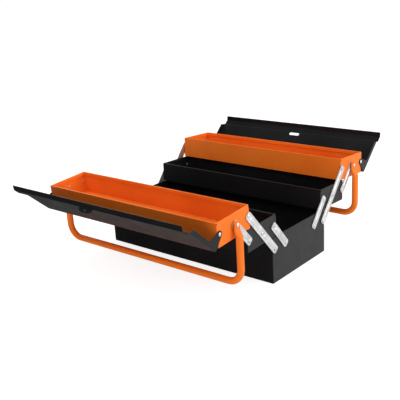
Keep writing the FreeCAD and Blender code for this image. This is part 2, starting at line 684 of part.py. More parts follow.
for wing, turn in WINGS:
    # ends are named as seen from the front, so the turned wing's ends change places
    flip = -1 if turn else 1
    at_middle = in_wing(turn, "Derived.middle_out", "Derived.middle_up", "-Dims.middle_tilt")
    at_upper = in_wing(turn, "Derived.upper_out", "Derived.upper_up", "-Dims.upper_tilt")
    at_centre = in_wing(turn, "0", "0", "0")
    at_hinge = in_wing(turn, "Derived.hinge_out", "Derived.hinge_high",
                       "Dims.lid_open - 180")
    at_handle = in_wing(turn, "Derived.handle_out", "Derived.handle_up", "0")
    links = (
        ("long", 2, ["Dims.running"] * 3,
         in_wing(turn, "Derived.long_foot", "Derived.long_foot_high", "-Dims.long_lean")),
        ("lower", 1, ["Dims.running", "Dims.open_play"],
         in_wing(turn, "Derived.lower_foot", "Derived.lower_foot_high", "-Dims.lower_lean")),
        ("upper", 1, ["Dims.running", "Dims.open_play"],
         in_wing(turn, "Derived.foot_out", "Derived.foot_up", "-Dims.upper_lean")),
    )

    name = f"{wing}_middle_shell"
    node(name, folded_shell(name, "Dims.tray_width", "Dims.middle_height"), at_middle)
    name = f"{wing}_upper_shell"
    node(name, folded_shell(name, "Dims.tray_width", "Dims.upper_height"), at_upper)
    for side, end in ENDS:
        name = f"{wing}_middle_end_{side}"
        plate = end_plate(name, end * flip, "Dims.tray_width", "Dims.middle_height", [
            ("Dims.middle_pivot_in", "Dims.middle_pivot_up"),
            ("Derived.middle_high_in", "Derived.middle_high_up"),
            ("Dims.middle_low_in", "Dims.middle_low_up"),
        ])
        node(name, plate, at_middle)
        name = f"{wing}_upper_end_{side}"
        plate = end_plate(name, end * flip, "Dims.tray_width", "Dims.upper_height", [
            ("Derived.upper_pivot_in", "Dims.upper_pivot_up"),
            ("Derived.handle_in", "Derived.handle_rise"),
            ("Dims.hinge_in", "Dims.hinge_up"),
        ])
        node(name, plate, at_upper)
        for kind, pitches, plays, place in links:
            name = f"{wing}_{kind}_link_{side}"
            node(name, link(name, end * flip, pitches, plays), place)
        name = f"{wing}_lid_flange_{side}"
        node(name, lid_flange(name, end * flip), at_hinge)
        name = f"{wing}_handle_eye_{side}"
        node(name, handle_eye(name, end * flip), at_handle)

    rivet_pair(f"{wing}_base_long_rivets", LINK_RIVET,
               "-Derived.long_foot", "Derived.long_foot_high", at_centre)
    rivet_pair(f"{wing}_base_lower_rivets", LINK_RIVET,
               "-Derived.lower_foot", "Derived.lower_foot_high", at_centre)
    rivet_pair(f"{wing}_middle_long_rivets", LINK_RIVET,
               "Dims.middle_pivot_in", "Dims.middle_pivot_up", at_middle)
    rivet_pair(f"{wing}_middle_high_rivets", LINK_RIVET,
               "Derived.middle_high_in", "Derived.middle_high_up", at_middle)
    rivet_pair(f"{wing}_middle_low_rivets", LINK_RIVET,
               "Dims.middle_low_in", "Dims.middle_low_up", at_middle)
    rivet_pair(f"{wing}_upper_long_rivets", LINK_RIVET,
               "Derived.upper_pivot_in", "Dims.upper_pivot_up", at_upper)
    rivet_pair(f"{wing}_handle_rivets", HANDLE_RIVET,
               "Derived.handle_in", "Derived.handle_rise", at_upper)
    rivet_pair(f"{wing}_hinge_rivets", HINGE_RIVET,
               "Dims.hinge_in", "Dims.hinge_up", at_upper)

    name = f"{wing}_lid_panel"
    node(name, lid_panel(name, wing == "back"), at_hinge)
    if wing == "front":
        node("padlock_lug", padlock_lug("padlock_lug"), at_hinge)
    name = f"{wing}_handle_tube"
    node(name, handle_tube(name), at_handle)

# ---------------------------------------------------------------- checks and export
doc.recompute()
for item in doc.Objects:
    if {"Invalid", "Error"} & set(item.State):
        raise RuntimeError(f"{item.Label} did not build: {item.State}")
for item in NODES:
    if item.Shape.isNull() or not item.Shape.isValid():
        raise RuntimeError(f"{item.Label} has no valid shape")

os.makedirs("parts", exist_ok=True)
for item in NODES:
    item.Shape.exportStep(f"parts/{item.Label}.step")
print(len(NODES), "parts")
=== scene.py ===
import json
import math

import bmesh
import bpy
from mathutils import Matrix, Quaternion, Vector


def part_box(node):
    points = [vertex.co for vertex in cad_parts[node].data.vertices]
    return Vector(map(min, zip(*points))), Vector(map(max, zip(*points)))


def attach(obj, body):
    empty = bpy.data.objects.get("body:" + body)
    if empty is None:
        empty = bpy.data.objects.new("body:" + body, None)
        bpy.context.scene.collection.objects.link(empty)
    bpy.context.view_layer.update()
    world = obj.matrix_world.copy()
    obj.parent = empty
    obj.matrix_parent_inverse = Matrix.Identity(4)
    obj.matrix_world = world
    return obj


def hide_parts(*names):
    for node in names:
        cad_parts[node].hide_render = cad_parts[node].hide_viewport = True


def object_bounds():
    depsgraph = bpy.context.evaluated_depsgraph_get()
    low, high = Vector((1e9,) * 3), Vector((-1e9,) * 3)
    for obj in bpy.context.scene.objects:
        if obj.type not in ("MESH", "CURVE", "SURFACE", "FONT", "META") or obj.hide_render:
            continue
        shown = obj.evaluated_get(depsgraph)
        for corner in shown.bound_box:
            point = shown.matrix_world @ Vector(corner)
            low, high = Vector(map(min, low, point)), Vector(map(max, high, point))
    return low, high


# Looks of a five-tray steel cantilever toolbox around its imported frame.
# Shapes are written in millimetres in each part's own axes and placed by the frame's joints.

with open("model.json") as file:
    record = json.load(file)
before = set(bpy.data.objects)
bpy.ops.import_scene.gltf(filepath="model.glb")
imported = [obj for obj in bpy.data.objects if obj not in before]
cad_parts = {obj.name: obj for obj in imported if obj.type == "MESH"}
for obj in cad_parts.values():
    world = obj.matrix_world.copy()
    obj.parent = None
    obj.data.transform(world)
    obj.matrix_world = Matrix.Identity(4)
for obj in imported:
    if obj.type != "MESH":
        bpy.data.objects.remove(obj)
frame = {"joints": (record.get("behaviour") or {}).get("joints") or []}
cad_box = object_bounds()
scene = bpy.context.scene
JOINTS = {joint["name"]: Vector(joint["pos_m"]) for joint in frame["joints"]}
MM = 0.001

# ---------------------------------------------------------------- sizes, in millimetres
HALF = 237.0            # half the length of base and trays
SHEET = 1.0
RIM_THICK, RIM_DROP, RIM_ROUND = 3.0, 8.0, 0.9
BEND = 1.6              # lower bends, outside
CORNER = 1.3            # upright corners, outside
FLOOR_BEND = 1.4        # bends between inner walls and floor
RELIEF_WIDE, RELIEF_HIGH, RELIEF_TALL = 2.55, 0.7, 3.8      # open end of a folded rim
RELIEF_EDGE, RELIEF_DEEP = 0.25, 12.0
BASE = (208.0, 103.0)   # width and height
MIDDLE = (101.0, 47.2)
UPPER = (101.0, 50.3)
MIDDLE_PIVOT = (-48.7, 24.6)    # the long link's pivot on each tray, (y, z) in its axes
UPPER_PIVOT = (-95.8, 28.1)
MIDDLE_TILT, UPPER_TILT, LID_OPEN = 2.3, 3.7, 42.3
LEAN = {"long": 41.0, "lower": 40.0, "upper": 41.6}     # degrees outward, when open
PITCH = 66.6            # between the pivots of a short link
LINK_HALF, LINK_END, LINK_CORNER, LINK_SHEET = 8.7, 5.9, 5.4, 1.8
RIB_START, RIB_HALF, RIB_SLOPE, RIB_HIGH = 12.0, 3.6, 1.7, 0.7
SIDE_PLAY = 0.1         # beside a turning plate
LINK_FACE = HALF + 0.4
LINK_OUTER = LINK_FACE + LINK_SHEET
HEAD_FACE = LINK_OUTER + SIDE_PLAY
RIVET, HEAD, HEAD_HIGH, TAIL_RADIUS, COLLAR_RADIUS = 2.5, 4.0, 1.3, 4.0, 5.2
DIMPLE = 0.25           # in the heads of the handle and hinge rivets
FLANGE_FACE, FLANGE_OUTER = HALF + 0.5, HALF + 1.7
LID_OUT, LID_TOP, LID_WALL, LID_FLAT = 10.6, 32.9, 15.4, 91.6
LID_ROUND = 5.5         # outer radius of the bend into the outer wall
LID_RAMP, LID_RISE, LID_BAND, LIP_RUN, LIP_FALL = 4.0, 6.2, 15.0, 8.5, 7.2
LID_FLAT_END, BAND_TOP = LID_OUT - LID_FLAT, LID_TOP + LID_RISE
FLANGE_DROP, FLANGE_TAPER, EAR_START, EAR_RADIUS = 9.4, 7.0, 22.6, 7.0
SLOT_LONG, SLOT_WIDE, SLOT_IN, SLOT_SHIFT = 30.0, 8.0, 75.0, 3.0
LUG_WIDE, LUG_HIGH, LUG_FOOT, LUG_SHEET, LUG_IN, LUG_SHIFT = 37.0, 10.4, 3.0, 2.4, 100.0, 8.0
LUG_HOLE = 3.1
LUG_ROUND = 2.3         # power of the lug's rounded outline; 2 would be an ellipse
TUBE, EYE_FACE = 7.2, LINK_OUTER + 1.8
LEG = EYE_FACE + TUBE
EYE_THICK, EYE_HALF, EYE_PLATE, EYE_LENGTH = 4.6, 7.9, 9.0, 25.0
EYE_OUTER = EYE_FACE + EYE_THICK
HANDLE_DROP, HANDLE_BEND = 121.0, 31.0

SHARP = math.radians(38)        # edges that turn more than this stay sharp
NOISE_RANGE = (0.3, 0.7)        # where nearly all values of a noise texture lie


# ---------------------------------------------------------------- materials
def node_material(name):
    """A new material with its node tree and its shader."""
    material = bpy.data.materials.new(name)
    material.use_nodes = True
    tree = material.node_tree
    return material, tree, tree.nodes["Principled BSDF"]


def add(tree, kind, **values):
    """A node with its properties and sockets set by name."""
    node = tree.nodes.new(kind)
    for key, value in values.items():
        if hasattr(node, key):
            setattr(node, key, value)
        else:
            node.inputs[key.replace("_", " ")].default_value = value
    return node


def object_noise(tree, scale, detail=3.0, roughness=0.5, stretch=(1, 1, 1)):
    """Noise that is fixed to the piece; scale is in cells per metre."""
    where = add(tree, "ShaderNodeTexCoord")
    mapping = add(tree, "ShaderNodeMapping")
    mapping.inputs["Scale"].default_value = stretch
    noise = add(tree, "ShaderNodeTexNoise", Scale=scale, Detail=detail, Roughness=roughness)
    tree.links.new(where.outputs["Object"], mapping.inputs["Vector"])
    tree.links.new(mapping.outputs["Vector"], noise.inputs["Vector"])
    return noise


def ramp(tree, source, stops):
    """A colour ramp over source; stops are (position, colour)."""
    node = tree.nodes.new("ShaderNodeValToRGB")
    elements = node.color_ramp.elements
    while len(elements) < len(stops):
        elements.new(0.5)
    for element, (position, colour) in zip(elements, stops):
        element.position = position
        element.color = (*colour, 1)
    tree.links.new(source, node.inputs["Fac"])
    return node


def spread(tree, source, low, high):
    """A noise output stretched to low..high."""
    node = tree.nodes.new("ShaderNodeMapRange")
    node.inputs["From Min"].default_value = NOISE_RANGE[0]
    node.inputs["From Max"].default_value = NOISE_RANGE[1]
    node.inputs["To Min"].default_value = low
    node.inputs["To Max"].default_value = high
    tree.links.new(source, node.inputs["Value"])
    return node


def bump(tree, shader, sources):
    """Chained bumps; sources are (height output, strength, distance in metres)."""
    last = None
    for height, strength, distance in sources:
        node = add(tree, "ShaderNodeBump", Strength=strength, Distance=distance)
        tree.links.new(height, node.inputs["Height"])
        if last:
            tree.links.new(last.outputs["Normal"], node.inputs["Normal"])
        last = node
    tree.links.new(last.outputs["Normal"], shader.inputs["Normal"])


def powder_coat(name, deep, main, pale, rough, specular, peel):
    """Satin powder coat: slight colour drift, orange-peel skin and uneven gloss."""
    material, tree, shader = node_material(name)
    cloud = object_noise(tree, 9, detail=4)
    colour = ramp(tree, cloud.outputs["Fac"], [(0.3, deep), (0.5, main), (0.72, pale)])
    tree.links.new(colour.outputs["Color"], shader.inputs["Base Color"])
    handling = object_noise(tree, 34, detail=5, roughness=0.62)
    gloss = spread(tree, handling.outputs["Fac"], rough[0], rough[1])
    tree.links.new(gloss.outputs["Result"], shader.inputs["Roughness"])
    shader.inputs["Specular IOR Level"].default_value = specular
    skin = object_noise(tree, 620, detail=1.5)
    grain = object_noise(tree, 2600, detail=0)
    bump(tree, shader, [(skin.outputs["Fac"], peel, 0.0004),
                        (grain.outputs["Fac"], 0.5 * peel, 0.00015)])
    return material


def plated(name, dark, light, rough, stretch, metallic):
    """Plated steel: faint crystal mottling and drawn grain."""
    material, tree, shader = node_material(name)
    where = add(tree, "ShaderNodeTexCoord")
    cells = add(tree, "ShaderNodeTexVoronoi", feature="SMOOTH_F1", Scale=230.0)
    tree.links.new(where.outputs["Object"], cells.inputs["Vector"])
    cloud = object_noise(tree, 60, detail=4)
    both = add(tree, "ShaderNodeMath", operation="MULTIPLY_ADD")
    both.inputs[1].default_value = 0.35
    tree.links.new(cells.outputs["Distance"], both.inputs[0])
    tree.links.new(cloud.outputs["Fac"], both.inputs[2])
    colour = ramp(tree, both.outputs["Value"], [(0.42, dark), (0.85, light)])
    tree.links.new(colour.outputs["Color"], shader.inputs["Base Color"])
    shader.inputs["Metallic"].default_value = metallic
    gloss = spread(tree, cloud.outputs["Fac"], rough[0], rough[1])
    tree.links.new(gloss.outputs["Result"], shader.inputs["Roughness"])
    drawn = object_noise(tree, 900, detail=2, stretch=stretch)
    bump(tree, shader, [(drawn.outputs["Fac"], 0.12, 0.0002)])
    return material


ORANGE = powder_coat("orange_powder_coat", (0.79, 0.160, 0.017), (0.84, 0.180, 0.019),
                     (0.87, 0.200, 0.023), (0.30, 0.42), 0.11, 0.10)
BLACK = powder_coat("black_powder_coat", (0.008, 0.008, 0.0085), (0.010, 0.010, 0.0105),
                    (0.013, 0.013, 0.0135), (0.38, 0.50), 0.32, 0.12)
LID_BLACK = powder_coat("lid_black_coat", (0.008, 0.008, 0.0085), (0.010, 0.010, 0.011),
                        (0.014, 0.013, 0.0135), (0.27, 0.36), 0.2, 0.09)
ZINC = plated("zinc_plate", (0.56, 0.57, 0.57), (0.80, 0.81, 0.80), (0.32, 0.46), (1, 1, 0.2),
              0.82)
STEEL = plated("rivet_steel", (0.55, 0.56, 0.57), (0.82, 0.82, 0.82), (0.22, 0.34), (1, 1, 1),
               0.88)


# ---------------------------------------------------------------- shape helpers
def circle_points(radius, steps, start=0.0, sweep=360.0):
    """Points on an arc; a full circle leaves out its last point, which is its first."""
    last = steps if sweep == 360.0 else steps - 1
    for n in range(steps):
        turn = math.radians(start + sweep * n / last)
        yield radius * math.cos(turn), radius * math.sin(turn)


def sines(*turns):
    """The sine and cosine of each angle in degrees."""
    return [(math.sin(math.radians(turn)), math.cos(math.radians(turn))) for turn in turns]


def smooth(share):
    """0 to 1 eased in and out, and held beyond either end."""
    share = min(max(share, 0.0), 1.0)
    return share * share * (3 - 2 * share)


def bands(loops, closed=False, caps=True):
    """Quads between loops of equal length, with a face over each end unless closed."""
    count = len(loops[0])
    vertices = [point for loop in loops for point in loop]
    pairs = list(zip(range(len(loops)), range(1, len(loops))))
    if closed:
        pairs.append((len(loops) - 1, 0))
    faces = []
    for low, high in pairs:
        for n in range(count):
            m = (n + 1) % count
            faces.append((low * count + n, low * count + m, high * count + m, high * count + n))
    if caps and not closed:
        faces.append(tuple(reversed(range(count))))
        faces.append(tuple(range((len(loops) - 1) * count, len(loops) * count)))
    return vertices, faces


def joined(*shapes):
    """One shape, (vertices, faces), of several."""
    vertices, faces = [], []
    for shape_vertices, shape_faces in shapes:
        start = len(vertices)
        vertices += list(shape_vertices)
        faces += [tuple(start + n for n in face) for face in shape_faces]
    return vertices, faces


def shrunk(outline, distance):
    """A closed outline moved inward by distance; it runs anticlockwise."""
    result = []
    count = len(outline)
    for n, here in enumerate(outline):
        here = Vector(here)
        before = (here - Vector(outline[n - 1])).normalized()
        after = (Vector(outline[(n + 1) % count]) - here).normalized()
        inward = Vector((-before.y - after.y, before.x + after.x))
        length = inward.length
        inward /= length
        result.append(tuple(here + inward * distance * 2 / max(length, 0.9)))
    return result


def plate(outline, x0, x1, edge):
    """A plate across X from a (y, z) outline, its edges rounded by edge."""
    loops = [(edge * (1 - sine), x0 + edge * (1 - cosine))
             for sine, cosine in sines(0, 30, 60, 90)]
    loops += [(inset, x0 + x1 - x) for inset, x in reversed(loops)]
    return bands([[(x, y, z) for y, z in shrunk(outline, inset)] for inset, x in loops])


def rounded_rectangle(half_x, low_y, high_y, radius, steps=5):
    """An anticlockwise rectangle in X and Y with rounded corners."""
    points = []
    corners = ((half_x, high_y, 0), (-half_x, high_y, 90), (-half_x, low_y, 180),
               (half_x, low_y, 270))
    for x, y, start in corners:
        centre_x = x - math.copysign(radius, x)
        centre_y = y - radius if y == high_y else y + radius
        for dx, dy in circle_points(radius, steps, start, 90.0):
            points.append((centre_x + dx, centre_y + dy))
    return points


def make_mesh(name, shape, matrix=None):
    """A mesh in metres from a shape in millimetres, its faces turned outward."""
    vertices, faces = shape
    mesh = bpy.data.meshes.new(name)
    mesh.from_pydata([Vector(v) * MM for v in vertices], [], faces)
    work = bmesh.new()
    work.from_mesh(mesh)
    bmesh.ops.remove_doubles(work, verts=work.verts, dist=1e-7)
    bmesh.ops.recalc_face_normals(work, faces=work.faces)
    work.to_mesh(mesh)
    work.free()
    if matrix:
        mesh.transform(matrix)
    return mesh


def new_object(name, mesh):
    """An object of the scene that holds a mesh, light or camera."""
    piece = bpy.data.objects.new(name, mesh)
    scene.collection.objects.link(piece)
    return piece


def carved(name, mesh, cutter_shape):
    """mesh with cutter_shape cut out of it."""
    body = new_object(name + "_blank", mesh)
    cutter = new_object(name + "_cutter", make_mesh(name + "_cutter", cutter_shape))
    cut = body.modifiers.new("cut", "BOOLEAN")
    cut.operation = "DIFFERENCE"
    cut.solver = "EXACT"
    cut.object = cutter
    bpy.context.view_layer.update()
    depsgraph = bpy.context.evaluated_depsgraph_get()
    result = bpy.data.meshes.new_from_object(body.evaluated_get(depsgraph))
    bpy.data.objects.remove(body)
    bpy.data.objects.remove(cutter)
    return result


def finished(name, mesh, body, slot, material, *stands_for):
    """A piece on its CAD body, in place of the CAD nodes that it stands for."""
    mesh.name = name
    mesh.materials.clear()
    mesh.materials.append(material)
    mesh.shade_smooth()
    mesh.set_sharp_from_angle(angle=SHARP)
    piece = new_object(name, mesh)
    weighted = piece.modifiers.new("weighted", "WEIGHTED_NORMAL")
    weighted.keep_sharp = True
    weighted.weight = 80
    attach(piece, body)
    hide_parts(*stands_for)
    return piece


def wing_place(turn, joint, pivot, roll):
    """Where a part's own axes lie: its point pivot, (y, z), is on the named joint."""
    at = JOINTS[joint]
    half_turn = Matrix.Rotation(math.radians(turn), 4, "Z")
    lean = Matrix.Rotation(math.radians(roll), 4, "X")
    offset = Vector((0, pivot[0], pivot[1])) * MM
    return Matrix.Translation(at) @ half_turn @ lean @ Matrix.Translation(-offset)


# ---------------------------------------------------------------- trays
def pan_profile(height):
    """(inset, z) from the middle of the underside, over the folded rim, to the inner floor."""
    middle = 40.0
    stations = [(middle, 0.0), (BEND, 0.0)]
    stations += [(BEND * (1 - sine), BEND * (1 - cosine)) for sine, cosine in sines(22, 45, 67, 90)]
    top = height - RIM_ROUND
    stations += [(0.0, 12.0), (0.0, height - 14.0), (0.0, top)]
    stations += [(RIM_ROUND * (1 - cosine), top + RIM_ROUND * sine)
                 for sine, cosine in sines(22, 45, 67, 90)]
    stations += [(RIM_THICK - RIM_ROUND * (1 - sine), top + RIM_ROUND * cosine)
                 for sine, cosine in sines(0, 22, 45, 67, 90)]
    hem = height - RIM_DROP
    stations += [(RIM_THICK, hem + 0.5), (RIM_THICK - 0.15, hem + 0.15), (RIM_THICK - 0.5, hem),
                 (SHEET, hem)]
    stations += [(SHEET, hem - 4.0), (SHEET, SHEET + FLOOR_BEND)]
    stations += [(SHEET + FLOOR_BEND * (1 - cosine), SHEET + FLOOR_BEND * (1 - sine))
                 for sine, cosine in sines(30, 60, 90)]
    return stations + [(middle, SHEET)]


def pan_mesh(name, width, height):
    """An open tray whose folded rims are open at their ends; its outer face is at y = 0."""
    loops = []
    for inset, z in pan_profile(height):
        radius = max(CORNER - inset, 0.3)
        outline = rounded_rectangle(HALF - inset, inset - width, -inset, radius)
        loops.append([(x, y, z) for x, y in outline])
    notches = []
    top = height - RELIEF_HIGH
    for side in (-1, 1):
        x0, x1 = sorted((side * (HALF - RELIEF_DEEP), side * (HALF + 1)))
        for edge in (-RELIEF_EDGE, RELIEF_EDGE + RELIEF_WIDE - width):
            notches.append(bands([[(x, edge, top), (x, edge - RELIEF_WIDE, top),
                                   (x, edge - RELIEF_WIDE, top - RELIEF_TALL),
                                   (x, edge, top - RELIEF_TALL)] for x in (x0, x1)]))
    return carved(name, make_mesh(name, bands(loops)), joined(*notches))


def add_pan(name, size, place, body, slot, material, shell, ends):
    """A base or tray in place of its CAD shell and end plates."""
    mesh = pan_mesh(name, *size)
    mesh.transform(place)
    finished(name, mesh, body, slot, material, shell, *ends)


# ---------------------------------------------------------------- lids
def sheet_section(points, radii, thickness):
    """The outer and inner lines of a folded sheet's section. The outer one runs through
    points, rounded by radii; the inner one lies thickness to its right."""
    outer = [Vector(points[0])]
    for n in range(1, len(points) - 1):
        here = Vector(points[n])
        back = (Vector(points[n - 1]) - here).normalized()
        ahead = (Vector(points[n + 1]) - here).normalized()
        half = back.angle(ahead) / 2
        reach = radii[n - 1] / math.tan(half)
        centre = here + (back + ahead).normalized() * radii[n - 1] / math.sin(half)
        first, last = here + back * reach - centre, here + ahead * reach - centre
        turn = first.angle_signed(last)
        for step in range(7):
            angle = -turn * step / 6
            outer.append(centre + Matrix.Rotation(angle, 2) @ first)
    outer.append(Vector(points[-1]))
    inner = []
    for n, here in enumerate(outer):
        before = (here - outer[n - 1]).normalized() if n else (outer[1] - here).normalized()
        after = (outer[n + 1] - here).normalized() if n + 1 < len(outer) else before
        right = Vector((before.y + after.y, -before.x - after.x))
        inner.append(here + right.normalized() * thickness * 2 / max(right.length, 0.5))
    return outer, inner


def lid_mesh(name, slotted):
    """A lid's folded panel with its outer wall, raised band and down-turned lip."""
    ramp_end = LID_FLAT_END - LID_RAMP
    band_end = ramp_end - LID_BAND
    points = [(LID_OUT, LID_TOP - LID_WALL), (LID_OUT, LID_TOP), (LID_FLAT_END, LID_TOP),
              (ramp_end, BAND_TOP), (band_end, BAND_TOP),
              (band_end - LIP_RUN, BAND_TOP - LIP_FALL)]
    outer, inner = sheet_section(points, (LID_ROUND, 2.2, 2.4, 3.0), -SHEET)
    ring = outer + inner[::-1]
    edge = 0.35
    loops = [[(x, y, z) for y, z in shrunk([tuple(p) for p in ring], inset)]
             for x, inset in ((-FLANGE_OUTER, edge), (-FLANGE_OUTER + edge, 0.0),
                              (FLANGE_OUTER - edge, 0.0), (FLANGE_OUTER, edge))]
    count = len(outer)
    vertices, faces = bands(loops, caps=False)
    total = 2 * count
    for start in (0, 3 * total):
        for n in range(count - 1):
            faces.append((start + n, start + n + 1, start + total - 2 - n, start + total - 1 - n))
    mesh = make_mesh(name, (vertices, faces))
    if slotted:
        outline = rounded_rectangle(SLOT_LONG / 2, -SLOT_WIDE / 2, SLOT_WIDE / 2,
                                    SLOT_WIDE / 2 - 0.01, steps=12)
        cutter = bands([[(x + SLOT_SHIFT, y - SLOT_IN, z) for x, y in outline]
                        for z in (LID_TOP - 4, LID_TOP + 4)])
        mesh = carved(name, mesh, cutter)
    return mesh


def flange_shape(side):
    """A lid's end flange with the rounded ear round its hinge rivet."""
    seat, low = LID_TOP - 0.5 * SHEET, LID_TOP - FLANGE_DROP
    low_end = LID_FLAT_END + FLANGE_TAPER
    round_y, round_z = LID_OUT - LID_ROUND, LID_TOP - LID_ROUND
    outline = [(round_y + y, round_z + z)
               for y, z in circle_points(LID_ROUND - 0.5 * SHEET, 7, 0, 90.0)]
    outline += [(LID_FLAT_END + 1.0, seat), (low_end - 1.0, low + 0.5), (low_end + 1.0, low)]
    for step in range(7):
        share = step / 6
        outline.append((-EAR_START + 4 * share, low - 1.4 * share ** 2))
    outline += list(circle_points(EAR_RADIUS, 22, 215, 145.0))
    x0, x1 = sorted((side * FLANGE_FACE, side * FLANGE_OUTER))
    return plate(outline, x0, x1, 0.3)


def lug_shape():
    """The half-round padlock lug that stands on the raised band, with its hole."""
    centre = BAND_TOP + LUG_HIGH / 2
    count = 72

    def inside(x, z, half, inset):
        rise = z - BAND_TOP - LUG_FOOT
        if rise <= 0:
            return abs(x) <= half
        high = LUG_HIGH - LUG_FOOT - inset
        return (abs(x) / half) ** LUG_ROUND + (rise / high) ** LUG_ROUND <= 1

    def outline(inset):
        """The lug's edge, found inward along a ray for each point of the hole."""
        half = LUG_WIDE / 2 - inset
        points = []
        for n in range(count):
            turn = 2 * math.pi * n / count
            dx, dz = math.cos(turn), math.sin(turn)
            reach = 60.0
            if dz < 0:
                reach = min(reach, (centre - BAND_TOP) / -dz)
            if abs(dx) > 1e-6:
                reach = min(reach, half / abs(dx))
            while reach > 1 and not inside(dx * reach, centre + dz * reach, half, inset):
                reach -= 0.02
            points.append((LUG_SHIFT + dx * reach, centre + dz * reach))
        return points

    def hole(radius):
        return [(LUG_SHIFT + x, centre + z) for x, z in circle_points(radius, count)]

    edge = 0.4
    y0, y1 = -LUG_IN - LUG_SHEET / 2, -LUG_IN + LUG_SHEET / 2
    stations = [(outline(0), y0 + edge), (outline(edge), y0), (hole(LUG_HOLE + edge), y0),
                (hole(LUG_HOLE), y0 + edge), (hole(LUG_HOLE), y1 - edge),
                (hole(LUG_HOLE + edge), y1),
                (outline(edge), y1), (outline(0), y1 - edge)]
    return bands([[(x, y, z) for x, z in ring] for ring, y in stations], closed=True)


# ---------------------------------------------------------------- links
def rib_height(y, z, pitches):
    """Height of the pressed ribs, one between each two pivots."""
    height = 0.0
    for step in range(pitches):
        low, high = step * PITCH + RIB_START, (step + 1) * PITCH - RIB_START
        away = math.hypot(y, max(low - z, z - high, 0.0))
        height = max(height, RIB_HIGH * smooth((RIB_HALF - away) / RIB_SLOPE))
    return height


def link_shape(side, pitches):
    """A pressed link standing on its lower pivot, rounded at its edges and corners."""
    length = pitches * PITCH
    cuts = [0.0, 0.15, 0.4, 0.8, 1.3, 2.0, 2.9, 4.0, LINK_CORNER]
    total = length + 2 * LINK_END
    middle = [LINK_CORNER + 1.0 * n for n in range(1, int(total - 2 * LINK_CORNER))]
    along = cuts + middle + [total - cut for cut in reversed(cuts)]
    across = [n / 12 for n in range(-12, 13)]

    def half_width(cut, inset):
        gap = min(cut, total - cut)
        half = LINK_HALF
        if gap < LINK_CORNER:
            half -= LINK_CORNER - math.sqrt(LINK_CORNER ** 2 - (LINK_CORNER - gap) ** 2)
        return half - inset

    def spot(cut, v, inset, x):
        z = cut - LINK_END
        z = min(max(z, inset - LINK_END), length + LINK_END - inset)
        return (side * x, v * half_width(cut, inset), z)

    edge = 0.45
    rows, columns = len(along), len(across)
    vertices = []
    for cut in along:
        for v in across:
            x, y, z = spot(cut, v, edge, 0)
            vertices.append((side * (LINK_OUTER + rib_height(y, z, pitches)), y, z))
    faces = []
    for i in range(rows - 1):
        for j in range(columns - 1):
            here = i * columns + j
            faces.append((here, here + 1, here + columns + 1, here + columns))
    rim = [(0, j) for j in range(columns)]
    rim += [(i, columns - 1) for i in range(1, rows)]
    rim += [(rows - 1, j) for j in range(columns - 2, -1, -1)]
    rim += [(i, 0) for i in range(rows - 2, 0, -1)]
    previous = [i * columns + j for i, j in rim]
    for inset, x in ((0.18, LINK_OUTER - 0.06), (0.0, LINK_OUTER - edge),
                     (0.0, LINK_FACE + edge), (0.18, LINK_FACE + 0.06), (edge, LINK_FACE)):
        start = len(vertices)
        vertices += [spot(along[i], across[j], inset, x) for i, j in rim]
        current = list(range(start, start + len(rim)))
        for n in range(len(rim)):
            m = (n + 1) % len(rim)
            faces.append((previous[n], previous[m], current[m], current[n]))
        previous = current
    faces.append(tuple(previous))
    return vertices, faces


# ---------------------------------------------------------------- rivets
def lathe(profile, at, side, steps=32):
    """A turned solid about X through at, (y, z); profile is (x, radius) pairs."""
    loops = []
    for x, radius in profile:
        ring = circle_points(max(radius, 0.01), steps)
        loops.append([(side * x, at[0] + y, at[1] + z) for y, z in ring])
    return bands(loops)


def head(start, high, radius, dimple=0.0):
    """The profile of a domed head that starts at start."""
    rim = 0.35 * high
    points = [(start, radius - 0.15), (start + 0.15, radius), (start + rim, radius)]
    points += [(start + rim + (high - rim) * sine, radius * cosine)
               for sine, cosine in sines(*range(12, 91, 13))]
    if dimple:
        points[-2:] = [(start + high, 1.3), (start + high - dimple, 0.7),
                       (start + high - dimple, 0.01)]
    return points


TAIL_OUT = HALF - SHEET
TAIL = [(TAIL_OUT - 0.55, 0.01), (TAIL_OUT - 0.6, 1.2), (TAIL_OUT - 1.2, 1.7),
        (TAIL_OUT - 1.2, 3.3), (TAIL_OUT - 0.95, 3.8), (TAIL_OUT - 0.6, TAIL_RADIUS),
        (TAIL_OUT, TAIL_RADIUS), (TAIL_OUT, RIVET)]
COLLAR_OUT = LINK_FACE - SIDE_PLAY
COLLAR = [(HALF, RIVET), (HALF, COLLAR_RADIUS - 0.2), (HALF + 0.1, COLLAR_RADIUS),
          (COLLAR_OUT, COLLAR_RADIUS), (COLLAR_OUT, RIVET)]
LINK_RIVET = TAIL + COLLAR + [(HEAD_FACE, RIVET)] + head(HEAD_FACE, HEAD_HIGH, HEAD)
SPACER_OUT, HANDLE_HEAD, HINGE_HEAD = (EYE_FACE - SIDE_PLAY, EYE_OUTER + SIDE_PLAY,
                                       FLANGE_OUTER + SIDE_PLAY)
HANDLE_RIVET = (TAIL + COLLAR + [(HEAD_FACE, RIVET), (HEAD_FACE, HEAD), (SPACER_OUT, HEAD),
                (SPACER_OUT, RIVET), (HANDLE_HEAD, RIVET)]
                + head(HANDLE_HEAD, HEAD_HIGH, HEAD, DIMPLE))
HINGE_RIVET = TAIL + [(HINGE_HEAD, RIVET)] + head(HINGE_HEAD, HEAD_HIGH, HEAD, DIMPLE)


def add_rivets(node, body, profile):
    """The two rivets of a CAD node, on the axis that its box gives."""
    low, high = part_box(node)
    at = ((low.y + high.y) / 2 / MM, (low.z + high.z) / 2 / MM)
    shape = joined(lathe(profile, at, -1), lathe(profile, at, 1))
    finished(node + "_turned", make_mesh(node, shape), body, "rivet_steel", STEEL, node)


